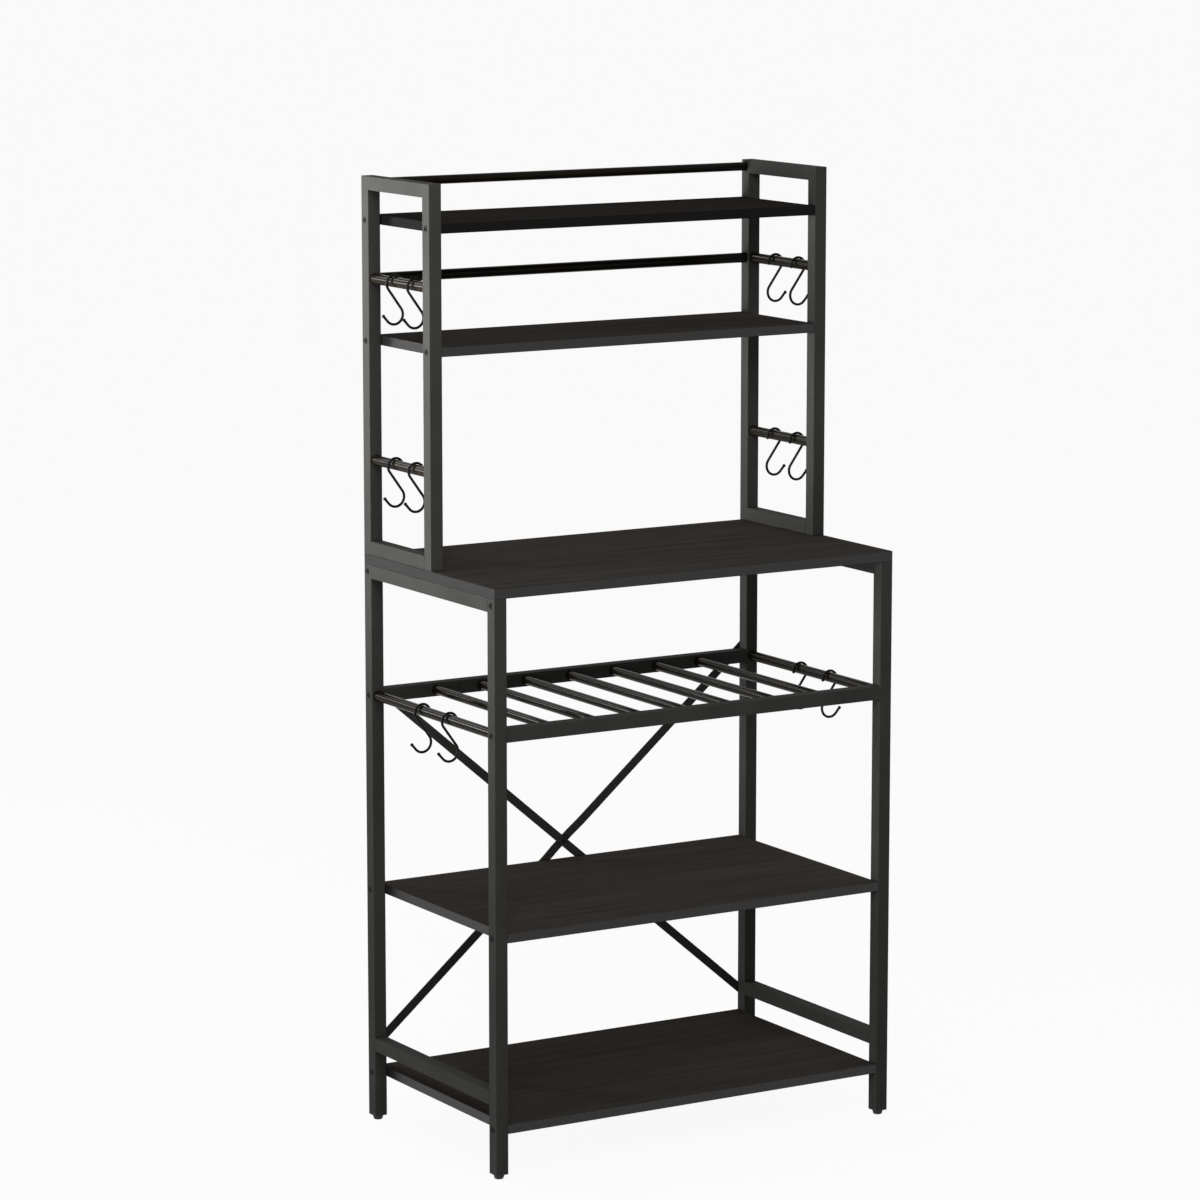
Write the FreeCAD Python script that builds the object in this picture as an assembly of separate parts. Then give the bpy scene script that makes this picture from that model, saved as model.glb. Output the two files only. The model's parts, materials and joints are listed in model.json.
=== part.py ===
"""Free-standing kitchen rack: a counter-height base with a wine level, and a half-depth hutch on top of it.

Two welded side frames of square steel tube carry every level.  Boards are drawn between the side frames by
bolts that pass through the tubes, crossed flat bars stiffen the back, and S-hooks hang on round rods
at both sides.  Millimetres, +Z up, front faces -Y, +X is to the right seen from the front, floor at Z = 0.
"""
import FreeCAD, Part
import math
import os

Vector = FreeCAD.Vector
RIGHT = Vector(1, 0, 0)
BACK = Vector(0, 1, 0)
UP = Vector(0, 0, 1)

# Overall sizes
rack_width = 670.0
rack_depth = 380.0
counter_height = 848.5
hutch_height = 548.5
hutch_depth = 200.0

# Stock: square tube, round tube, boards and flat bar
tube = 20.0
tube_wall = 1.2
tube_corner = 1.0
smallest_corner = 0.2
rod_diameter = 13.0
side_rod_diameter = 15.0
rod_wall = 1.0
board_thickness = 14.0
counter_thickness = 15.0
board_edge = 0.5
counter_inset = 0.2
brace_width = 13.0
brace_thickness = 2.0

# Levels of the base above the floor, and of the wine level below the counter
bottom_shelf_top = 79.7
lower_rail_middle = 116.5
middle_shelf_top = 356.5
wine_drop = 209.0
brace_low = 107.2
brace_rise_over_wine = 18.5

# Levels of the hutch above the counter and below its own top
lower_rod_rise = 138.0
second_shelf_drop = 230.1
upper_rod_drop = 147.5
top_shelf_drop = 56.2

# Wine level
wine_bar_count = 7
wine_bar_pitch = 76.0

# Levelling feet and the plugs that hold them
foot_height = 7.0
foot_base_diameter = 12.5
foot_top_diameter = 16.5
foot_edge = 1.5
foot_stem_diameter = 6.0
foot_travel = 10.0
foot_thread_kept = 16.0
plug_flange = 1.5
plug_length = 32.0
plug_wall_clearance = 0.05
stem_clearance = 0.1

# Bolts, threaded inserts, rivet nuts, brackets
bolt_diameter = 6.0
bolt_head_diameter = 8.5
bolt_head_height = 1.2
bolt_head_bevel = 0.4
bolt_socket = 4.0
bolt_socket_depth = 2.5
hole_clearance = 0.5
thread_clearance = 0.05
insert_diameter = 9.0
insert_length = 22.0
rail_insert_length = 18.0
rail_insert_clearance = 0.1
bolt_tip_room = 2.0
rivet_nut_diameter = 9.0
rivet_nut_length = 11.0
rivet_nut_flange_diameter = 12.0
rivet_nut_flange = 0.8
brace_bolt_length = 12.0
rivet_diameter = 5.0
rivet_head_diameter = 9.0
rivet_head_height = 1.3
joggle_flat = 16.0
joggle_ramp = 26.0
bracket_leg = 18.0
bracket_thickness = 2.0
bracket_clearance = 0.3
bracket_nut_size = 10.0
bracket_nut_height = 4.0
bracket_screw_edge = 4.0
screw_diameter = 3.5
screw_head_diameter = 6.0
screw_head_height = 2.0
screw_length = 12.0
hutch_bolt_inset = 32.0

# S-hooks
hook_wire = 3.8
hook_ball = 5.0
hook_loop_inner = 20.5
hook_bend_outer = 32.0
hook_height = 74.0
hook_loop_wrap = 4.0
hook_tip_angle = 42.0
hook_tip_length = 10.0
hook_play = 0.3
hutch_hook_spread = 61.0
hutch_hook_shift = -9.5
base_hook_spread = 79.0
base_hook_shift = -4.0

# Places that follow from the sizes above
half_width = rack_width / 2
bolt_hole = bolt_diameter + hole_clearance
thread_bore = bolt_diameter + 2 * thread_clearance
tube_bore = tube - 2 * tube_wall
tube_bore_corner = max(tube_corner - tube_wall, smallest_corner)
inner_x = half_width - tube
leg_x = half_width - tube / 2
brace_stand_off = brace_thickness + max(bolt_head_height, brace_thickness + rivet_head_height)
y_front = -(rack_depth + brace_stand_off) / 2
y_back = y_front + rack_depth
y_hutch = y_back - hutch_depth
leg_front_y = y_front + tube / 2
leg_back_y = y_back - tube / 2
post_front_y = y_hutch + tube / 2
leg_bottom = foot_height + plug_flange
leg_top = counter_height - counter_thickness
hutch_top = counter_height + hutch_height
wine_level = counter_height - wine_drop
brace_high = wine_level + brace_rise_over_wine
lower_rod_level = counter_height + lower_rod_rise
second_shelf_top = hutch_top - second_shelf_drop
upper_rod_level = hutch_top - upper_rod_drop
top_shelf_top = hutch_top - top_shelf_drop
counter_rail_middle = leg_top - tube / 2
hutch_rail_middle = counter_height + tube / 2
hoop_middle = hutch_top - tube / 2
SIDES = {"left": -1, "right": 1}
BASE_LEVELS = [bottom_shelf_top - board_thickness / 2, middle_shelf_top - board_thickness / 2, wine_level]
HUTCH_LEVELS = [second_shelf_top - board_thickness / 2, top_shelf_top - board_thickness / 2]


def save(name, *solids):
    """Write one node, a single solid or a group of separate ones."""
    shape = solids[0] if len(solids) == 1 else Part.makeCompound(list(solids))
    shape.exportStep(f"parts/{name}.step")


def box(x0, x1, y0, y1, z0, z1):
    return Part.makeBox(x1 - x0, y1 - y0, z1 - z0, Vector(x0, y0, z0))


def cylinder(diameter, start, axis, length):
    return Part.makeCylinder(diameter / 2, length, start, axis)


def rounded_square(size, radius):
    """Face of a square with round corners, centred on the Z axis."""
    half = size / 2
    flat = half - radius
    corner_middle = flat + radius * math.sqrt(0.5)
    edges = []
    for quarter in range(4):
        turn = FreeCAD.Rotation(UP, 90 * quarter)
        side = [Vector(half, -flat, 0), Vector(half, flat, 0)]
        corner = [side[1], Vector(corner_middle, corner_middle, 0), Vector(flat, half, 0)]
        edges.append(Part.LineSegment(*[turn.multVec(p) for p in side]).toShape())
        edges.append(Part.Arc(*[turn.multVec(p) for p in corner]).toShape())
    return Part.Face(Part.Wire(edges))


def lay(shape, start, axis):
    """Turn a shape drawn up the Z axis to lie along axis, with its foot at start."""
    laid = shape.copy()
    laid.Placement = FreeCAD.Placement(start, FreeCAD.Rotation(UP, axis))
    return laid


def square_tube(start, axis, length):
    outer = rounded_square(tube, tube_corner).extrude(Vector(0, 0, length))
    bore = rounded_square(tube_bore, tube_bore_corner).extrude(Vector(0, 0, length))
    return lay(outer.cut(bore), start, axis)


def round_tube(diameter, start, axis, length):
    outer = cylinder(diameter, start, axis, length)
    return outer.cut(cylinder(diameter - 2 * rod_wall, start, axis, length))


def wedge(points, x0, x1):
    """Prism across X from corner points given as (y, z)."""
    corners = [Vector(x0, y, z) for y, z in points]
    face = Part.Face(Part.makePolygon(corners + corners[:1]))
    return face.extrude(Vector(x1 - x0, 0, 0))


def bolt(start, axis, length):
    """Low socket-head bolt; start is the face that its head seats on, axis points into the work."""
    radius = bolt_head_diameter / 2
    profile = [Vector(0, 0, -bolt_head_height), Vector(radius - bolt_head_bevel, 0, -bolt_head_height),
               Vector(radius, 0, bolt_head_bevel - bolt_head_height), Vector(radius, 0, 0),
               Vector(bolt_diameter / 2, 0, 0), Vector(bolt_diameter / 2, 0, length), Vector(0, 0, length)]
    solid = Part.Face(Part.makePolygon(profile + profile[:1])).revolve(Vector(), UP, 360)
    key = hexagon(bolt_socket, Vector(0, 0, -bolt_head_height), bolt_socket_depth)
    return lay(solid.cut(key), start, axis)


def hexagon(across_flats, start, height):
    radius = across_flats / math.sqrt(3)
    corners = [start + Vector(radius * math.cos(math.radians(a)), radius * math.sin(math.radians(a)), 0)
               for a in range(0, 361, 60)]
    return Part.Face(Part.makePolygon(corners)).extrude(Vector(0, 0, height))


def sleeve(diameter, bore, start, axis, length):
    return cylinder(diameter, start, axis, length).cut(cylinder(bore, start, axis, length))


def rivet_nut(seat, axis):
    """Flanged threaded sleeve; seat is on the outer face of the tube wall, axis points into the tube."""
    flange = cylinder(rivet_nut_flange_diameter, seat + axis * tube_wall, axis, rivet_nut_flange)
    body = cylinder(rivet_nut_diameter, seat, axis, rivet_nut_length)
    bore = cylinder(thread_bore, seat, axis, rivet_nut_length)
    return body.fuse(flange).cut(bore).removeSplitter()


def side_bolt_holes(shape, side, y, levels, depth):
    """Drill a tube along X from its outer side, at each level."""
    for z in levels:
        outside = Vector(side * (half_width + tube), y, z)
        shape = shape.cut(cylinder(bolt_hole, outside, Vector(-side, 0, 0), tube + depth))
    return shape


def build_legs():
    for side_name, side in SIDES.items():
        for place, y in (("front", leg_front_y), ("back", leg_back_y)):
            leg = square_tube(Vector(side * leg_x, y, leg_bottom), UP, leg_top - leg_bottom)
            leg = side_bolt_holes(leg, side, y, BASE_LEVELS, 2 * tube)
            leg = side_bolt_holes(leg, side, y, [counter_rail_middle], tube / 2)
            if place == "back":
                for z in (brace_low, brace_high):
                    start = Vector(side * leg_x, y_back, z)
                    leg = leg.cut(cylinder(rivet_nut_diameter, start, -BACK, tube / 2))
            save(f"leg_{place}_{side_name}", leg)


def hutch_bolt_ys():
    return [y_hutch + tube + hutch_bolt_inset, y_back - tube - hutch_bolt_inset]


def build_side_rails():
    length = rack_depth - 2 * tube
    start_y = y_front + tube
    for side_name, side in SIDES.items():
        counter_rail = square_tube(Vector(side * leg_x, start_y, counter_rail_middle), BACK, length)
        for y in hutch_bolt_ys():
            start = Vector(side * leg_x, y, counter_rail_middle - tube)
            counter_rail = counter_rail.cut(cylinder(bolt_hole, start, UP, 2 * tube))
        save(f"counter_rail_{side_name}", counter_rail)
        save(f"lower_rail_{side_name}",
             square_tube(Vector(side * leg_x, start_y, lower_rail_middle), BACK, length))
        save(f"base_rod_{side_name}",
             round_tube(side_rod_diameter, Vector(side * leg_x, start_y, wine_level), BACK, length))


def build_wine_level():
    for place, y in (("front", leg_front_y), ("back", leg_back_y)):
        save(f"wine_rail_{place}", square_tube(Vector(-inner_x, y, wine_level), RIGHT, 2 * inner_x))
    first_x = -wine_bar_pitch * (wine_bar_count - 1) / 2
    bars = []
    for i in range(wine_bar_count):
        start = Vector(first_x + i * wine_bar_pitch, y_front + tube, wine_level)
        bars.append(round_tube(rod_diameter, start, BACK, rack_depth - 2 * tube))
    save("wine_bars", *bars)


def eased_board(x0, x1, y0, y1, top, thickness):
    board = box(x0, x1, y0, y1, top - thickness, top)
    return board.makeFillet(board_edge, board.Edges)


def shelf_board(front_y, bolt_ys, top):
    """Board held between the side frames, with a blind hole for a threaded insert at each bolt."""
    board = eased_board(-inner_x, inner_x, front_y, y_back, top, board_thickness)
    for side in SIDES.values():
        for y in bolt_ys:
            start = Vector(side * inner_x, y, top - board_thickness / 2)
            axis = Vector(-side, 0, 0)
            board = board.cut(cylinder(insert_diameter, start, axis, insert_length + bolt_tip_room))
    return board


def build_boards():
    base_ys = (leg_front_y, leg_back_y)
    hutch_ys = (post_front_y, leg_back_y)
    save("bottom_shelf", shelf_board(y_front, base_ys, bottom_shelf_top))
    save("middle_shelf", shelf_board(y_front, base_ys, middle_shelf_top))
    save("second_shelf", shelf_board(y_hutch, hutch_ys, second_shelf_top))
    save("top_shelf", shelf_board(y_hutch, hutch_ys, top_shelf_top))
    counter_x = half_width - counter_inset
    counter = eased_board(-counter_x, counter_x, y_front, y_back, counter_height, counter_thickness)
    for side in SIDES.values():
        for y in hutch_bolt_ys():
            start = Vector(side * leg_x, y, leg_top)
            counter = counter.cut(cylinder(bolt_hole, start, UP, counter_thickness))
        for x, y in bracket_screw_places(side):
            counter = counter.cut(cylinder(screw_diameter, Vector(x, y, leg_top), UP, screw_length))
    save("counter_board", counter)


def brace_frame(rise):
    """Placement that lays a bar drawn along X on the back of the legs; rise is +1 or -1 for its slope."""
    slope = rise * math.degrees(math.atan2(brace_high - brace_low, 2 * leg_x))
    turn = FreeCAD.Rotation(BACK, -slope)
    return FreeCAD.Placement(Vector(0, y_back, (brace_low + brace_high) / 2), turn)


def brace_bar(profile, length):
    """Flat bar from its thickness profile (x, y), with round ends, bolt holes and the rivet hole."""
    corners = [Vector(x, y, -brace_width / 2) for x, y in profile]
    bar = Part.Face(Part.makePolygon(corners + corners[:1])).extrude(Vector(0, 0, brace_width))
    reach = 3 * brace_thickness
    outline = box(-length / 2, length / 2, -reach, reach, -brace_width / 2, brace_width / 2)
    for end in (-1, 1):
        start = Vector(end * length / 2, -reach, 0)
        outline = outline.fuse(cylinder(brace_width, start, BACK, 2 * reach))
    bar = bar.common(outline.removeSplitter())
    holes = [(-length / 2, bolt_hole), (length / 2, bolt_hole), (0.0, rivet_diameter)]
    for x, diameter in holes:
        bar = bar.cut(cylinder(diameter, Vector(x, -reach, 0), BACK, 2 * reach))
    return bar


def build_braces():
    length = math.hypot(2 * leg_x, brace_high - brace_low)
    tip = length / 2 + brace_width
    flat = [(-tip, 0), (tip, 0), (tip, brace_thickness), (-tip, brace_thickness)]
    inner, outer = joggle_flat, joggle_flat + joggle_ramp
    step = brace_thickness
    under = [(-tip, 0), (-outer, 0), (-inner, step), (inner, step), (outer, 0), (tip, 0)]
    over = [(x, y + brace_thickness) for x, y in reversed(under)]
    for name, profile, rise in (("brace_falling", flat, -1), ("brace_rising", under + over, 1)):
        bar = brace_bar(profile, length)
        bar.Placement = brace_frame(rise)
        save(name, bar)
    middle = Vector(0, y_back, (brace_low + brace_high) / 2)
    rivet = cylinder(rivet_diameter, middle, BACK, 2 * brace_thickness)
    for start, axis in ((middle, -BACK), (middle + BACK * 2 * brace_thickness, BACK)):
        head = Part.makeCone(rivet_head_diameter / 2, rivet_diameter / 2, rivet_head_height, start, axis)
        rivet = rivet.fuse(head)
    save("brace_rivet", rivet.removeSplitter())
    bolts = []
    for side in SIDES.values():
        for z in (brace_low, brace_high):
            seat = Vector(side * leg_x, y_back + brace_thickness, z)
            bolts.append(bolt(seat, -BACK, brace_bolt_length))
    save("brace_bolts", *bolts)


def leg_places():
    return [(f"{place}_{side_name}", side * leg_x, y) for side_name, side in SIDES.items()
            for place, y in (("front", leg_front_y), ("back", leg_back_y))]


def build_feet():
    plugs = []
    core_size = tube_bore - 2 * plug_wall_clearance
    for name, x, y in leg_places():
        floor = Vector(x, y, 0)
        flange = rounded_square(tube, tube_corner).extrude(Vector(0, 0, plug_flange))
        core = rounded_square(core_size, tube_bore_corner).extrude(Vector(0, 0, plug_length))
        plug = flange.fuse(core)
        plug.translate(Vector(x, y, foot_height))
        bore = cylinder(foot_stem_diameter + 2 * stem_clearance, floor, UP, foot_height + plug_length)
        plugs.append(plug.cut(bore).removeSplitter())
        pad = Part.makeCone(foot_base_diameter / 2, foot_top_diameter / 2, foot_height, floor, UP)
        pad = pad.makeFillet(foot_edge, [edge for edge in pad.Edges if edge.BoundBox.ZMax < foot_edge / 2])
        stem = cylinder(foot_stem_diameter, floor + UP * foot_height, UP, foot_travel + foot_thread_kept)
        save(f"levelling_foot_{name}", pad.fuse(stem).removeSplitter())
    save("leg_plugs", *plugs)


def rod_hole(diameter, side, z):
    """Cutter for the hole in a back post that takes the end of a rod across the back."""
    start = Vector(side * (inner_x - tube), leg_back_y, z)
    return cylinder(diameter + 2 * stem_clearance, start, Vector(side, 0, 0), 2 * tube - tube_wall)


def build_hutch_frames():
    for side_name, side in SIDES.items():
        x = side * leg_x
        x0, x1 = x - tube, x + tube
        low = hutch_top - tube
        front_corner = [(y_hutch, hutch_top), (y_hutch + tube, hutch_top), (y_hutch + tube, low)]
        back_corner = [(y_back, hutch_top), (y_back - tube, hutch_top), (y_back - tube, low)]
        front = square_tube(Vector(x, post_front_y, counter_height), UP, hutch_height)
        front = front.cut(wedge(front_corner, x0, x1))
        front = side_bolt_holes(front, side, post_front_y, HUTCH_LEVELS, 2 * tube)
        save(f"hutch_post_front_{side_name}", front)
        back = square_tube(Vector(x, leg_back_y, counter_height), UP, hutch_height)
        back = back.cut(wedge(back_corner, x0, x1))
        back = side_bolt_holes(back, side, leg_back_y, HUTCH_LEVELS, 2 * tube)
        back = back.cut(rod_hole(side_rod_diameter, side, upper_rod_level))
        back = back.cut(rod_hole(rod_diameter, side, hoop_middle))
        save(f"hutch_post_back_{side_name}", back)
        hoop = square_tube(Vector(x, y_hutch, hoop_middle), BACK, hutch_depth)
        hoop = hoop.cut(wedge([(y_hutch, hutch_top), (y_hutch, low), (y_hutch + tube, low)], x0, x1))
        hoop = hoop.cut(wedge([(y_back, hutch_top), (y_back, low), (y_back - tube, low)], x0, x1))
        hoop = hoop.cut(rod_hole(rod_diameter, side, hoop_middle))
        save(f"hutch_top_rail_{side_name}", hoop)
        rail_length = hutch_depth - 2 * tube
        foot_rail = square_tube(Vector(x, y_hutch + tube, hutch_rail_middle), BACK, rail_length)
        for y in hutch_bolt_ys():
            start = Vector(x, y, counter_height)
            foot_rail = foot_rail.cut(cylinder(rivet_nut_diameter, start, UP, tube / 2))
        save(f"hutch_foot_rail_{side_name}", foot_rail)
        for level_name, z in (("lower", lower_rod_level), ("upper", upper_rod_level)):
            rod = round_tube(side_rod_diameter, Vector(x, y_hutch + tube, z), BACK, rail_length)
            save(f"hutch_rod_{level_name}_{side_name}", rod)
    reach = half_width - tube_wall
    for name, diameter, z in (("hutch_guard_rod", rod_diameter, hoop_middle),
                              ("hutch_back_rod", side_rod_diameter, upper_rod_level)):
        save(name, round_tube(diameter, Vector(-reach, leg_back_y, z), RIGHT, 2 * reach))


def build_frame_bolts():
    """Bolts through the tubes, and the inserts in boards and rails that they screw into."""
    bolts, inserts = [], []
    bracket_grip = tube_wall + bracket_clearance + bracket_thickness + bracket_nut_height
    core = tube_bore - 2 * rail_insert_clearance
    base = [(y, z) for y in (leg_front_y, leg_back_y) for z in BASE_LEVELS]
    hutch = [(y, z) for y in (post_front_y, leg_back_y) for z in HUTCH_LEVELS]
    for side in SIDES.values():
        inward = Vector(-side, 0, 0)
        for y, z in base + hutch:
            seat = Vector(side * half_width, y, z)
            face = Vector(side * inner_x, y, z)
            if z == wine_level:
                bolts.append(bolt(seat, inward, tube + rail_insert_length))
                block = rounded_square(core, tube_bore_corner)
                block = lay(block.extrude(Vector(0, 0, rail_insert_length)), face, inward)
                inserts.append(block.cut(cylinder(thread_bore, face, inward, rail_insert_length)))
            else:
                bolts.append(bolt(seat, inward, tube + insert_length))
                inserts.append(sleeve(insert_diameter, thread_bore, face, inward, insert_length))
        for y in (leg_front_y, leg_back_y):
            bolts.append(bolt(Vector(side * half_width, y, counter_rail_middle), inward, bracket_grip))
    save("frame_bolts", *bolts)
    save("threaded_inserts", *inserts)


def bracket_screw_places(side):
    x = side * (inner_x + tube_wall + bracket_clearance + bracket_screw_edge)
    return [(x, y) for y in (leg_front_y, leg_back_y)]


def build_counter_brackets():
    """Brackets with weld nuts that sit inside the tops of the legs, and the screws up into the counter."""
    brackets, screws = [], []
    size = tube_bore - 2 * bracket_clearance
    tab_face = half_width - tube_wall - bracket_clearance - bracket_thickness
    for side in SIDES.values():
        inward = Vector(-side, 0, 0)
        for x, y in bracket_screw_places(side):
            bracket = rounded_square(size, tube_bore_corner).extrude(Vector(0, 0, bracket_leg))
            bracket.translate(Vector(side * leg_x, y, leg_top - bracket_leg))
            x0, x1 = sorted((side * tab_face, side * (tab_face - tube)))
            room = box(x0, x1, y - tube, y + tube, leg_top - 2 * bracket_leg, leg_top - bracket_thickness)
            bracket = bracket.cut(room)
            bolt_start = Vector(side * half_width, y, counter_rail_middle)
            bracket = bracket.cut(cylinder(bolt_hole, bolt_start, inward, tube / 2))
            screw_axis = Vector(x, y, leg_top - bracket_thickness)
            bracket = bracket.cut(cylinder(screw_diameter, screw_axis, UP, bracket_thickness))
            nut_face = Vector(side * tab_face, y, counter_rail_middle)
            nut = lay(hexagon(bracket_nut_size, Vector(), bracket_nut_height), nut_face, inward)
            nut = nut.cut(cylinder(thread_bore, nut_face, inward, bracket_nut_height))
            brackets.append(bracket.fuse(nut).removeSplitter())
            shank = cylinder(screw_diameter, screw_axis, UP, bracket_thickness + screw_length)
            head = Part.makeCone(screw_head_diameter / 2, screw_diameter / 2, screw_head_height, screw_axis,
                                 -UP)
            screws.append(shank.fuse(head).removeSplitter())
    save("counter_brackets", *brackets)
    save("counter_screws", *screws)


def build_hutch_bolts():
    """Bolts from under the base rails through the counter into the hutch, and every rivet nut."""
    bolts, nuts = [], []
    seat_z = leg_top - tube
    hutch_grip = tube + counter_thickness
    for side in SIDES.values():
        for y in hutch_bolt_ys():
            bolts.append(bolt(Vector(side * leg_x, y, seat_z), UP, hutch_grip + rivet_nut_length))
            nuts.append(rivet_nut(Vector(side * leg_x, y, counter_height), UP))
        for z in (brace_low, brace_high):
            nuts.append(rivet_nut(Vector(side * leg_x, y_back, z), -BACK))
    save("hutch_bolts", *bolts)
    save("rivet_nuts", *nuts)


def hook_shape():
    """S-hook for the right side, its upper loop centred on the origin and its weight straight below it."""
    loop = (hook_loop_inner + hook_wire) / 2
    bend = (hook_bend_outer - hook_wire) / 2
    drop = hook_height - hook_wire - loop - bend
    lean = math.asin((loop + bend) / drop)

    def on_loop(angle):
        return Vector(loop * math.cos(angle), 0, loop * math.sin(angle))

    def on_bend(angle):
        return Vector(bend * math.cos(angle), 0, bend * math.sin(angle) - drop)

    loop_tip = on_loop(math.pi + math.radians(hook_loop_wrap))
    stem_top = on_loop(-lean)
    stem_foot = on_bend(math.pi - lean)
    opening = -math.radians(hook_tip_angle)
    bend_end = on_bend(opening)
    tip = bend_end + Vector(-math.sin(opening), 0, math.cos(opening)) * hook_tip_length
    edges = [Part.Arc(loop_tip, on_loop(math.pi / 2), stem_top).toShape(),
             Part.LineSegment(stem_top, stem_foot).toShape(),
             Part.Arc(stem_foot, on_bend(-math.pi / 2), bend_end).toShape(),
             Part.LineSegment(bend_end, tip).toShape()]
    heading = edges[0].tangentAt(edges[0].FirstParameter)
    section = Part.Wire(Part.makeCircle(hook_wire / 2, loop_tip, heading))
    wire = Part.Wire(edges).makePipeShell([section], True, False)
    hook = wire.fuse([Part.makeSphere(hook_ball / 2, loop_tip), Part.makeSphere(hook_ball / 2, tip)])
    hook = hook.removeSplitter().Solids[0]
    weight = hook.CenterOfMass
    hook.rotate(Vector(), BACK, math.degrees(math.atan2(weight.x, -weight.z)))
    return hook


def build_hooks():
    right_hook = hook_shape()
    loop_drop = hook_loop_inner / 2 - side_rod_diameter / 2 - hook_play
    hutch_y = (y_hutch + y_back) / 2 + hutch_hook_shift
    base_y = (y_front + y_back) / 2 + base_hook_shift
    rods = (("base", wine_level, base_y, base_hook_spread),
            ("lower", lower_rod_level, hutch_y, hutch_hook_spread),
            ("upper", upper_rod_level, hutch_y, hutch_hook_spread))
    for side_name, side in SIDES.items():
        hook = right_hook if side > 0 else right_hook.mirror(Vector(), RIGHT)
        for rod_name, level, middle_y, spread in rods:
            for place, step in (("front", -0.5), ("back", 0.5)):
                hung = hook.copy()
                hung.translate(Vector(side * leg_x, middle_y + step * spread, level - loop_drop))
                save(f"s_hook_{rod_name}_{side_name}_{place}", hung)


os.makedirs("parts", exist_ok=True)
build_legs()
build_side_rails()
build_wine_level()
build_boards()
build_braces()
build_feet()
build_hutch_frames()
build_frame_bolts()
build_counter_brackets()
build_hutch_bolts()
build_hooks()
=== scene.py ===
"""Looks of a black steel kitchen rack: coats, grained boards, threaded feet, studio light and camera."""
import json
import math

import bpy
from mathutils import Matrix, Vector


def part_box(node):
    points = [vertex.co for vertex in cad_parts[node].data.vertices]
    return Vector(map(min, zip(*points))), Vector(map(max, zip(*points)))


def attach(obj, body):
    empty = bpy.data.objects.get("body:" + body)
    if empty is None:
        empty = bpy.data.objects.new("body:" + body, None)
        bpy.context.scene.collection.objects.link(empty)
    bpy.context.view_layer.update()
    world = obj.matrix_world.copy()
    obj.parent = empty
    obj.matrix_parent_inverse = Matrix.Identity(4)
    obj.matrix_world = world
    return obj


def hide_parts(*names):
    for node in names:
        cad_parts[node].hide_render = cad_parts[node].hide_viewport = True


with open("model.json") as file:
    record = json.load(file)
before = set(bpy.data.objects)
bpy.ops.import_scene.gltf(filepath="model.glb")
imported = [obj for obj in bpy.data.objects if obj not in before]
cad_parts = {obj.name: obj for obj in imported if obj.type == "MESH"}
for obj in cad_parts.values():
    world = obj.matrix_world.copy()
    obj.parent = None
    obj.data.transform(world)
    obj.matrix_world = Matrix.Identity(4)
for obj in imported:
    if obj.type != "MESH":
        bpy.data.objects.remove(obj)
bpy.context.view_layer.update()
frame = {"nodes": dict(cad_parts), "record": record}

MM = 0.001

# Camera, found by fitting a pinhole camera to the rack's edges
CAMERA_PLACE = (-3.4544, -5.6454, 1.8777)
CAMERA_PITCH_DOWN = 9.44
CAMERA_YAW_RIGHT = 31.11
CAMERA_LENS = 137.894
CAMERA_SENSOR = 36.0

# Powder coats: darkest and palest colour, linear; lowest and highest roughness; specular level; and orange
# peel in repeats per metre and as bump strength
FRAME_COAT = dict(shades=((0.030, 0.030, 0.028), (0.044, 0.043, 0.040)), rough=(0.70, 0.82), gloss=0.03,
                  peel=900.0, peel_strength=0.10)
ROD_COAT = dict(shades=((0.0046, 0.0034, 0.0020), (0.0092, 0.0070, 0.0042)), rough=(0.10, 0.17), gloss=0.04,
                peel=1600.0, peel_strength=0.03)
HOOK_COAT = dict(shades=((0.002, 0.002, 0.002), (0.005, 0.005, 0.005)), rough=(0.18, 0.28), gloss=0.08,
                 peel=800.0, peel_strength=0.10)
PEEL_DEPTH = 0.06 * MM
PEEL_DETAIL = 2.0
PEEL_COLOUR_SHARE = 0.25
PEEL_SHEEN_SHARE = 0.2
CLOUD = dict(scale=(11.0, 11.0, 7.0), detail=4.0)

# Painted shade in creases, gaps between pieces and bolt sockets: colours, linear, and how far it reaches
PAINTED_SHADE_COLOURS = ((0.003, 0.003, 0.003), (0.007, 0.007, 0.007))
CREASE_SHADE_REACH = 3.0 * MM
SOCKET_SHADE_REACH = 3.0 * MM

# Boards: colours, linear, of the grained faces and of the plain edges, and weight of the edges' lacquer
PLAIN_BOARD = dict(grain_shades=((0.031, 0.0268, 0.0243), (0.0485, 0.0420, 0.0380)),
                   edge_shades=((0.0045, 0.0043, 0.0041), (0.0075, 0.0073, 0.0069)), edge_coat=0.80)
# The top shelf's board is a darker, less lacquered copy: painted shade on its grain and edges
SHADED_TOP_BOARD = dict(grain_shades=((0.019, 0.0164, 0.0149), (0.029, 0.0251, 0.0227)),
                 edge_shades=((0.0018, 0.0017, 0.0016), (0.0032, 0.0030, 0.0029)), edge_coat=0.16)
STREAKS = dict(scale=(3.2, 70.0, 70.0), detail=6.0, rough=0.6)
PORES = dict(scale=(18.0, 620.0, 620.0), detail=2.0)
FIGURE = dict(scale=(1.1, 9.0, 9.0), detail=3.0)
EDGE_SPECKLE = dict(scale=(900.0,) * 3, detail=2.0)
PORE_SHARE = 0.28
FIGURE_SHARE = 0.35
PORE_SHEEN_SHARE = 0.2
STREAK_BUMP_SHARE = 0.8
GRAIN_BUMP = 0.12
GRAIN_DEPTH = 0.08 * MM
FACE_ROUGHNESS = (0.72, 0.58)
EDGE_ROUGHNESS = (0.44, 0.54)
EDGE_COAT_ROUGHNESS = 0.4
BOARD_GLOSS = 0.0

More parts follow.
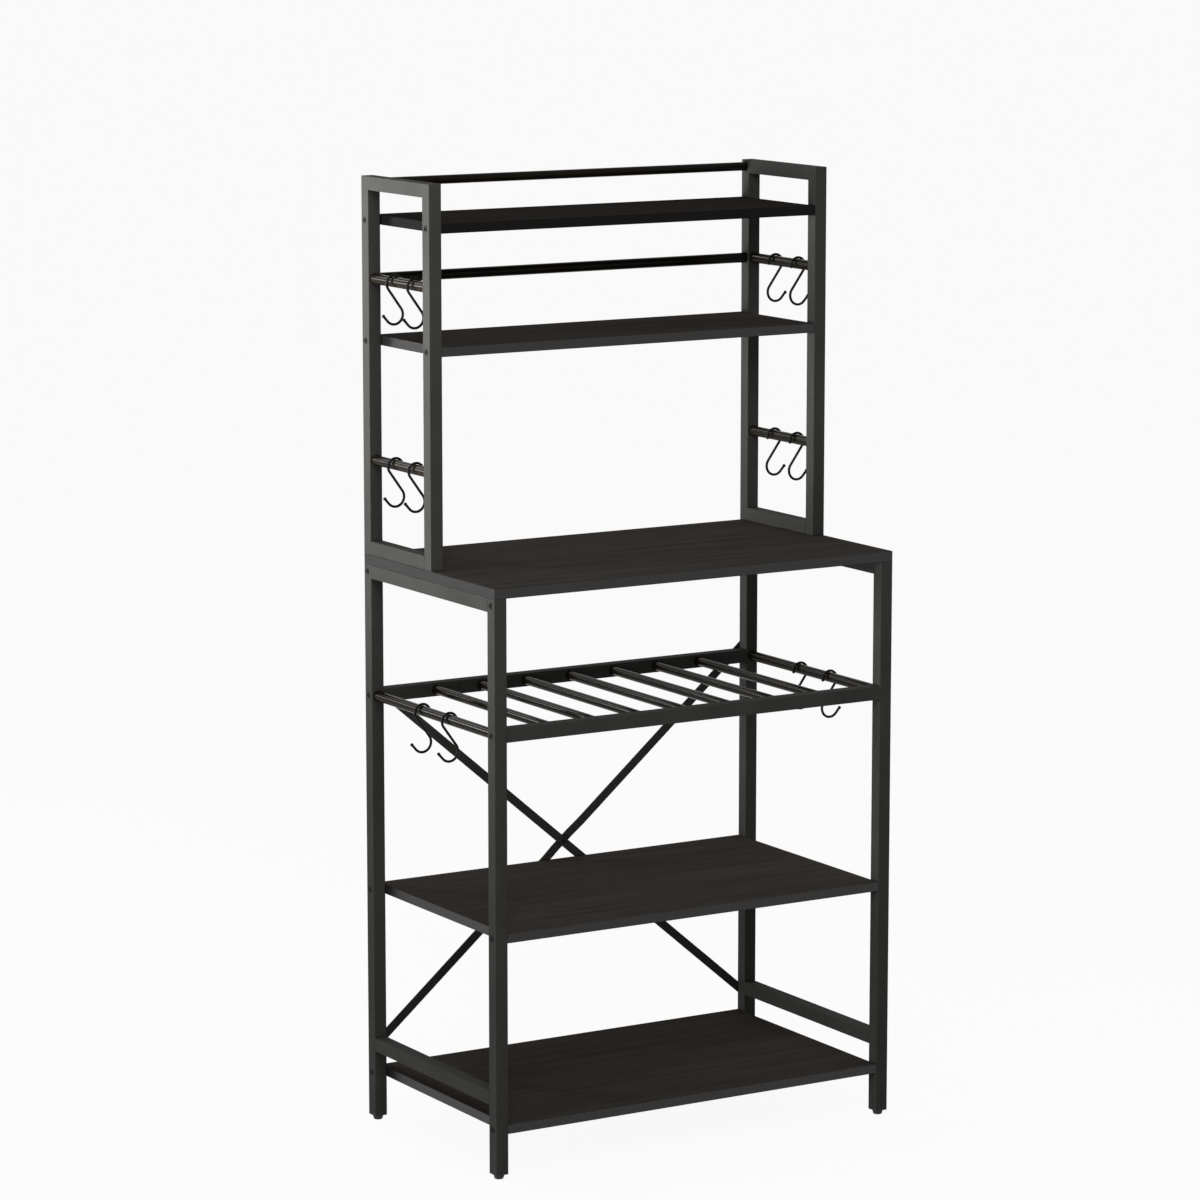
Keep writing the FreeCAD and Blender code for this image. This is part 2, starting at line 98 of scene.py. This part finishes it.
# Parts of a noise's range that a finish spreads its colours or its roughness over
MIDDLE_RANGE = (0.3, 0.7)
MARKS_RANGE = (0.3, 0.75)
FINE_RANGE = (0.2, 0.9)
CLOUD_RANGE = (0.35, 0.9)
GRAIN_RANGE = (0.55, 1.0)

# Small parts: grit in repeats per metre, with its bump's strength and depth
BOLT_OXIDE = dict(shades=((0.014, 0.014, 0.013), (0.024, 0.024, 0.022)), reach=MARKS_RANGE,
                  rough=(0.34, 0.52), gloss=0.03, grit=1400.0, detail=3.0, bump=0.12, depth=0.03 * MM)
ZINC_PLATE = dict(shades=((0.42, 0.41, 0.38), (0.60, 0.59, 0.55)), reach=MIDDLE_RANGE, rough=(0.28, 0.46),
                  gloss=0.5, metallic=1.0, grit=260.0, detail=4.0, bump=0.06, depth=0.02 * MM)
PLASTIC = dict(shades=((0.014, 0.014, 0.014), (0.022, 0.022, 0.021)), reach=MIDDLE_RANGE, rough=(0.5, 0.68),
               gloss=0.25, grit=1800.0, detail=3.0, bump=0.2, depth=0.05 * MM)

# Heights of a face's normal between which it starts and ends to count as level or as upper
LEVEL_TILT = (0.55, 0.85)
LACQUER_TILT = (0.05, 0.25)
UPPER_TILT = (0.1, 0.4)

# Shares of open surroundings between which a face counts as closed and as open
OPENNESS = (0.4, 0.9)
OPENNESS_SAMPLES = 8

# Floor and surroundings
FLOOR_HALF_SIZE = 120.0
FLOOR_COLOUR = (0.60, 0.60, 0.60)
FLOOR_SEEN_SHADE = (0.06, 0.06, 0.06)
FLOOR_SEEN_GLOW = 0.93
BACKDROP_WHITE = 0.955
FRONT_LIGHT = 0.06
REAR_LIGHT = 0.90
REAR_LIGHT_DIRECTION = (0.66, 0.66, 0.36)

# Lamps: places and sizes in metres, power in watts, spread in degrees. The key lights the rack without
# showing in the boards' lacquer, and the window and the skylight draw the streaks along the side rods.
LAMPS = {
    "key": dict(place=(-1.80, 0.40, 1.02), aim=(-0.33, 0.12, 1.44), size=(0.6, 0.6), power=15.8, spread=72.0,
                mirrored=False),
    "window": dict(place=(-2.2, 3.15, 1.7), aim=(-0.33, 0.0, 0.9), size=(0.4, 1.0), power=30.0),
    "skylight": dict(place=(-0.68, 2.2, 2.2), aim=(-0.33, 0.0, 0.9), size=(0.35, 0.6), power=5.5),
    "wash": dict(place=(-4.4, -1.2, 0.8), aim=(0.0, 0.0, 0.6), size=(2.0, 1.5), power=106.0),
    "fill": dict(place=(-0.9, -1.7, 2.2), aim=(0.0, 0.0, 1.35), size=(1.2, 1.2), power=21.5, spread=140.0),
}

# Levelling feet
FOOT_PAD_HEIGHT = 7.0 * MM
FOOT_PAD_BASE_RADIUS = 6.25 * MM
FOOT_PAD_TOP_RADIUS = 8.25 * MM
FOOT_PAD_EDGE = 1.5 * MM
FOOT_PAD_EDGE_STEPS = 4
THREAD_OUTER_RADIUS = 3.0 * MM
THREAD_DEPTH = 0.45 * MM
THREAD_PITCH = 1.0 * MM
THREAD_RINGS_PER_TURN = 6
TURN_STEPS = 24
SHARP_ANGLE = 40


class Surface:
    """A principled material and the few node patterns that the finishes here are made of."""

    def __init__(self, name):
        self.material = bpy.data.materials.new(name)
        self.material.use_nodes = True
        self.tree = self.material.node_tree
        self.shader = self.tree.nodes["Principled BSDF"]
        coordinates = self.tree.nodes.new("ShaderNodeTexCoord")
        self.place = coordinates.outputs["Object"]
        self.normal = coordinates.outputs["Normal"]

    def link(self, source, target):
        self.tree.links.new(source, target)

    def noise(self, scale, detail, rough=0.5):
        """Noise with scale repeats per metre along X, Y and Z."""
        mapping = self.tree.nodes.new("ShaderNodeMapping")
        mapping.inputs["Scale"].default_value = scale
        self.link(self.place, mapping.inputs["Vector"])
        node = self.tree.nodes.new("ShaderNodeTexNoise")
        node.inputs["Scale"].default_value = 1.0
        node.inputs["Detail"].default_value = detail
        node.inputs["Roughness"].default_value = rough
        self.link(mapping.outputs["Vector"], node.inputs["Vector"])
        return node.outputs["Fac"]

    def span(self, source, reach, target=(0.0, 1.0)):
        """Source, spread from its reach to the target range."""
        node = self.tree.nodes.new("ShaderNodeMapRange")
        for name, value in zip(("From Min", "From Max", "To Min", "To Max"), (*reach, *target)):
            node.inputs[name].default_value = value
        self.link(source, node.inputs["Value"])
        return node.outputs["Result"]

    def sum(self, first, second, share):
        """First pattern plus a share of the second."""
        node = self.tree.nodes.new("ShaderNodeMath")
        node.operation = "MULTIPLY_ADD"
        node.inputs[1].default_value = share
        self.link(second, node.inputs[0])
        self.link(first, node.inputs[2])
        return node.outputs["Value"]

    def most(self, first, second):
        node = self.tree.nodes.new("ShaderNodeMath")
        node.operation = "MAXIMUM"
        self.link(first, node.inputs[0])
        self.link(second, node.inputs[1])
        return node.outputs["Value"]

    def upward(self):
        """Height of the face's normal: 1 on faces that look up, 0 on upright ones, -1 on undersides."""
        parts = self.tree.nodes.new("ShaderNodeSeparateXYZ")
        self.link(self.normal, parts.inputs["Vector"])
        return parts.outputs["Z"]

    def upper_faces(self):
        """1 on faces that look upward, 0 on upright ones and below."""
        return self.span(self.upward(), UPPER_TILT)

    def level_faces(self, tilt):
        """1 on faces that lie level, 0 on upright ones."""
        size = self.tree.nodes.new("ShaderNodeMath")
        size.operation = "ABSOLUTE"
        self.link(self.upward(), size.inputs[0])
        return self.span(size.outputs["Value"], tilt)

    def open_faces(self, reach, alone):
        """1 on open faces, 0 in narrow gaps between pieces, or alone in the piece's own hollows."""
        node = self.tree.nodes.new("ShaderNodeAmbientOcclusion")
        node.samples = OPENNESS_SAMPLES
        node.only_local = alone
        node.inputs["Distance"].default_value = reach
        return self.span(node.outputs["AO"], OPENNESS)

    def shades(self, source, reach, ends):
        """Colours from the dark to the pale end over the source's reach."""
        node = self.tree.nodes.new("ShaderNodeValToRGB")
        for stop, place, shade in zip(node.color_ramp.elements, reach, ends):
            stop.position = place
            stop.color = (*shade, 1.0)
        self.link(source, node.inputs["Fac"])
        return node.outputs["Color"]

    def blend(self, share, first, second, kind):
        """First where share is 0, second where it is 1; kind is RGBA or FLOAT."""
        node = self.tree.nodes.new("ShaderNodeMix")
        node.data_type = kind
        wanted = "RGBA" if kind == "RGBA" else "VALUE"
        sockets = [socket for socket in node.inputs if socket.type == wanted and socket.enabled]
        self.link(share, node.inputs["Factor"])
        self.link(first, sockets[-2])
        self.link(second, sockets[-1])
        return [socket for socket in node.outputs if socket.enabled][0]

    def colour(self, shade):
        self.link(shade, self.shader.inputs["Base Color"])

    def roughness(self, amount):
        self.link(amount, self.shader.inputs["Roughness"])

    def bump(self, source, strength, depth):
        node = self.tree.nodes.new("ShaderNodeBump")
        node.inputs["Strength"].default_value = strength
        node.inputs["Distance"].default_value = depth
        self.link(source, node.inputs["Height"])
        self.link(node.outputs["Normal"], self.shader.inputs["Normal"])

    def gloss(self, level, metallic=0.0):
        self.shader.inputs["Specular IOR Level"].default_value = level
        self.shader.inputs["Metallic"].default_value = metallic

    def lacquer(self, weight, roughness):
        self.link(weight, self.shader.inputs["Coat Weight"])
        self.shader.inputs["Coat Roughness"].default_value = roughness


def coated_steel(name, shades, rough, gloss, peel, peel_strength, crease_shade_reach=0.0):
    """Powder coat: fine orange peel, cloudy sheen, a faint speckle, and painted shade in creases within a
    reach.
    """
    surface = Surface(name)
    fine = surface.noise((peel,) * 3, PEEL_DETAIL)
    cloud = surface.noise(**CLOUD)
    coat = surface.shades(surface.sum(cloud, fine, PEEL_COLOUR_SHARE), CLOUD_RANGE, shades)
    if crease_shade_reach:
        # Painted shade: creases and gaps near other pieces turn dark, while faces that look up stay unshaded
        clear = surface.most(surface.open_faces(crease_shade_reach, alone=False), surface.upper_faces())
        crease_shade = surface.shades(fine, FINE_RANGE, PAINTED_SHADE_COLOURS)
        coat = surface.blend(clear, crease_shade, coat, "RGBA")
    surface.colour(coat)
    surface.roughness(surface.span(surface.sum(cloud, fine, PEEL_SHEEN_SHARE), MIDDLE_RANGE, rough))
    surface.bump(fine, peel_strength, PEEL_DEPTH)
    surface.gloss(gloss)
    return surface.material


def grained_board(name, grain_shades, edge_shades, edge_coat):
    """Dark laminate: a straight faint grain with fine pores on top and below, plain lacquered edges."""
    surface = Surface(name)
    level = surface.level_faces(LEVEL_TILT)
    streaks = surface.noise(**STREAKS)
    pores = surface.noise(**PORES)
    figure = surface.noise(**FIGURE)
    fine = surface.noise(**EDGE_SPECKLE)
    grain = surface.sum(surface.sum(streaks, pores, PORE_SHARE), figure, FIGURE_SHARE)
    face = surface.shades(grain, GRAIN_RANGE, grain_shades)
    edge = surface.shades(fine, FINE_RANGE, edge_shades)
    surface.colour(surface.blend(level, edge, face, "RGBA"))
    face_rough = surface.span(surface.sum(streaks, pores, PORE_SHEEN_SHARE), MIDDLE_RANGE, FACE_ROUGHNESS)
    edge_rough = surface.span(fine, MIDDLE_RANGE, EDGE_ROUGHNESS)
    surface.roughness(surface.blend(level, edge_rough, face_rough, "FLOAT"))
    surface.bump(surface.sum(pores, streaks, STREAK_BUMP_SHARE), GRAIN_BUMP, GRAIN_DEPTH)
    surface.gloss(BOARD_GLOSS)
    weight = surface.span(surface.level_faces(LACQUER_TILT), (0.0, 1.0), (edge_coat, 0.0))
    surface.lacquer(weight, EDGE_COAT_ROUGHNESS)
    return surface.material


def gritty(name, shades, reach, rough, gloss, grit, detail, bump, depth, metallic=0.0, socket_shade_reach=0.0):
    """Finish of a small part: one colour, a fine grit, and painted shade inside sockets within a reach."""
    surface = Surface(name)
    marks = surface.noise((grit,) * 3, detail)
    shade = surface.shades(marks, reach, shades)
    if socket_shade_reach:
        # Painted shade inside the part's own hollows, such as its socket
        socket = surface.shades(marks, reach, PAINTED_SHADE_COLOURS)
        shade = surface.blend(surface.open_faces(socket_shade_reach, alone=True), socket, shade, "RGBA")
    surface.colour(shade)
    surface.roughness(surface.span(marks, MIDDLE_RANGE, rough))
    surface.bump(marks, bump, depth)
    surface.gloss(gloss, metallic)
    return surface.material


def finish_all():
    """Material for each of the record's slots, on every node that names it; the top shelf has a painted
    shade copy.
    """
    finishes = {
        "frame_steel": coated_steel("satin_powder_coat", **FRAME_COAT, crease_shade_reach=CREASE_SHADE_REACH),
        "rod_steel": coated_steel("semi_gloss_coat", **ROD_COAT),
        "hook_wire": coated_steel("gloss_coat", **HOOK_COAT),
        "board": grained_board("dark_grained_board", **PLAIN_BOARD),
        "bolt_steel": gritty("black_oxide", **BOLT_OXIDE, socket_shade_reach=SOCKET_SHADE_REACH),
        "insert_steel": gritty("zinc_plate", **ZINC_PLATE),
        "black_plastic": gritty("moulded_plastic", **PLASTIC),
    }
    for part in frame["record"]["subparts"]:
        mesh = frame["nodes"][part["node"]].data
        mesh.materials.clear()
        mesh.materials.append(finishes[part["material_slot"]])
    # The top shelf gets the darker board copy, a painted shade
    frame["nodes"]["top_shelf"].data.materials[0] = grained_board("shaded_top_board", **SHADED_TOP_BOARD)
    return finishes


def foot_profile():
    """Radius and height of each ring of a foot below its thread, from the floor up."""
    flare = FOOT_PAD_TOP_RADIUS - FOOT_PAD_BASE_RADIUS
    slope = math.hypot(flare, FOOT_PAD_HEIGHT)
    edge_middle = FOOT_PAD_BASE_RADIUS - FOOT_PAD_EDGE * (slope - flare) / FOOT_PAD_HEIGHT
    last_turn = math.atan2(-flare, FOOT_PAD_HEIGHT)
    rings = []
    for step in range(FOOT_PAD_EDGE_STEPS + 1):
        turn = -math.pi / 2 + (last_turn + math.pi / 2) * step / FOOT_PAD_EDGE_STEPS
        rings.append((edge_middle + FOOT_PAD_EDGE * math.cos(turn), FOOT_PAD_EDGE * (1 + math.sin(turn))))
    rings.append((FOOT_PAD_TOP_RADIUS, FOOT_PAD_HEIGHT))
    return rings


def thread_radius(turn, height):
    """Radius of a rounded thread at an angle in turns and a height above the pad."""
    phase = (height / THREAD_PITCH - turn) % 1.0
    return THREAD_OUTER_RADIUS - THREAD_DEPTH * (0.5 - 0.5 * math.cos(2 * math.pi * phase))


def foot_rings(length):
    """Height of each ring of a threaded foot and the radii around it, from the floor up."""
    rings = [(height, [radius] * TURN_STEPS) for radius, height in foot_profile()]
    step = THREAD_PITCH / THREAD_RINGS_PER_TURN
    for index in range(int((length - FOOT_PAD_HEIGHT) / step) + 1):
        radii = [thread_radius(i / TURN_STEPS, index * step) for i in range(TURN_STEPS)]
        rings.append((FOOT_PAD_HEIGHT + index * step, radii))
    return rings


def ring_faces(count):
    """Faces that join rings of points to a closed body."""
    faces = [list(range(TURN_STEPS))[::-1]]
    for row in range(count - 1):
        for i in range(TURN_STEPS):
            a, b = row * TURN_STEPS + i, row * TURN_STEPS + (i + 1) % TURN_STEPS
            faces.append([a, b, b + TURN_STEPS, a + TURN_STEPS])
    faces.append([(count - 1) * TURN_STEPS + i for i in range(TURN_STEPS)])
    return faces


def threaded_foot(node, body, finish):
    """Levelling foot with its thread cut, in place of the plain stem."""
    low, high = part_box(node)
    middle = (low + high) / 2
    rings = foot_rings(high.z - low.z)
    points = []
    for height, radii in rings:
        for i, radius in enumerate(radii):
            angle = 2 * math.pi * i / TURN_STEPS
            x = middle.x + radius * math.cos(angle)
            y = middle.y + radius * math.sin(angle)
            points.append((x, y, low.z + height))
    mesh = bpy.data.meshes.new(node + "_threaded")
    mesh.from_pydata(points, [], ring_faces(len(rings)))
    mesh.materials.append(finish)
    mesh.shade_smooth()
    mesh.set_sharp_from_angle(angle=math.radians(SHARP_ANGLE))
    foot = bpy.data.objects.new(node + "_threaded", mesh)
    bpy.context.scene.collection.objects.link(foot)
    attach(foot, body)
    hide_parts(node)


def light_paths(tree):
    """1 for rays that see the background itself: from the camera, and from glossy and clear surfaces."""
    path = tree.nodes.new("ShaderNodeLightPath")
    total = path.outputs["Is Camera Ray"]
    for name in ("Is Glossy Ray", "Is Transmission Ray"):
        most = tree.nodes.new("ShaderNodeMath")
        most.operation = "MAXIMUM"
        tree.links.new(total, most.inputs[0])
        tree.links.new(path.outputs[name], most.inputs[1])
        total = most.outputs["Value"]
    return total


def floor_material():
    """Pale where it lights the rack, near white with a soft shadow where it is seen."""
    material = bpy.data.materials.new("pale_floor")
    material.use_nodes = True
    tree = material.node_tree
    tree.nodes.clear()
    lit = tree.nodes.new("ShaderNodeBsdfDiffuse")
    lit.inputs["Color"].default_value = (*FLOOR_COLOUR, 1.0)
    shaded = tree.nodes.new("ShaderNodeBsdfDiffuse")
    shaded.inputs["Color"].default_value = (*FLOOR_SEEN_SHADE, 1.0)
    glow = tree.nodes.new("ShaderNodeEmission")
    glow.inputs["Strength"].default_value = FLOOR_SEEN_GLOW
    seen = tree.nodes.new("ShaderNodeAddShader")
    tree.links.new(shaded.outputs[0], seen.inputs[0])
    tree.links.new(glow.outputs[0], seen.inputs[1])
    choose = tree.nodes.new("ShaderNodeMixShader")
    tree.links.new(light_paths(tree), choose.inputs["Fac"])
    tree.links.new(lit.outputs[0], choose.inputs[1])
    tree.links.new(seen.outputs[0], choose.inputs[2])
    output = tree.nodes.new("ShaderNodeOutputMaterial")
    tree.links.new(choose.outputs[0], output.inputs["Surface"])
    return material


def build_floor():
    size = FLOOR_HALF_SIZE
    mesh = bpy.data.meshes.new("floor")
    corners = [(-size, -size, 0), (size, -size, 0), (size, size, 0), (-size, size, 0)]
    mesh.from_pydata(corners, [], [[0, 1, 2, 3]])
    mesh.materials.append(floor_material())
    floor = bpy.data.objects.new("floor", mesh)
    bpy.context.scene.collection.objects.link(floor)


def build_world():
    """White as seen, and a soft light that is stronger from behind and from the right."""
    world = bpy.data.worlds.new("studio")
    world.use_nodes = True
    tree = world.node_tree
    background = tree.nodes["Background"]
    coordinates = tree.nodes.new("ShaderNodeTexCoord")
    toward = tree.nodes.new("ShaderNodeVectorMath")
    toward.operation = "DOT_PRODUCT"
    toward.inputs[1].default_value = REAR_LIGHT_DIRECTION
    tree.links.new(coordinates.outputs["Generated"], toward.inputs[0])
    light = tree.nodes.new("ShaderNodeMapRange")
    light.inputs["To Min"].default_value = FRONT_LIGHT
    light.inputs["To Max"].default_value = REAR_LIGHT
    tree.links.new(toward.outputs["Value"], light.inputs["Value"])
    level = tree.nodes.new("ShaderNodeMapRange")
    level.inputs["To Max"].default_value = BACKDROP_WHITE
    tree.links.new(light.outputs["Result"], level.inputs["To Min"])
    tree.links.new(light_paths(tree), level.inputs["Value"])
    tree.links.new(level.outputs["Result"], background.inputs["Strength"])
    background.inputs["Color"].default_value = (1.0, 1.0, 1.0, 1.0)
    bpy.context.scene.world = world


def softbox(name, place, aim, size, power, spread=180.0, mirrored=True):
    """Rectangular lamp; one that is not mirrored lights the rack without showing in its lacquer."""
    lamp = bpy.data.lights.new(name, "AREA")
    lamp.shape = "RECTANGLE"
    lamp.size, lamp.size_y = size
    lamp.energy = power
    lamp.spread = math.radians(spread)
    thing = bpy.data.objects.new(name, lamp)
    thing.location = place
    thing.rotation_euler = (Vector(aim) - Vector(place)).to_track_quat("-Z", "Y").to_euler()
    thing.visible_camera = False
    thing.visible_glossy = mirrored
    bpy.context.scene.collection.objects.link(thing)


def build_camera():
    lens = bpy.data.cameras.new("photo_view")
    lens.lens = CAMERA_LENS
    lens.sensor_width = CAMERA_SENSOR
    camera = bpy.data.objects.new("photo_view", lens)
    camera.location = CAMERA_PLACE
    camera.rotation_euler = (math.radians(90 - CAMERA_PITCH_DOWN), 0.0, math.radians(-CAMERA_YAW_RIGHT))
    bpy.context.scene.collection.objects.link(camera)
    bpy.context.scene.camera = camera


finishes = finish_all()
for body, members in frame["record"]["behaviour"]["bodies"].items():
    if body.startswith("levelling_foot"):
        threaded_foot(members[0], body, finishes["black_plastic"])
build_floor()
build_world()
for lamp_name, lamp_values in LAMPS.items():
    softbox(lamp_name, **lamp_values)
build_camera()
bpy.context.scene.view_settings.view_transform = "Standard"
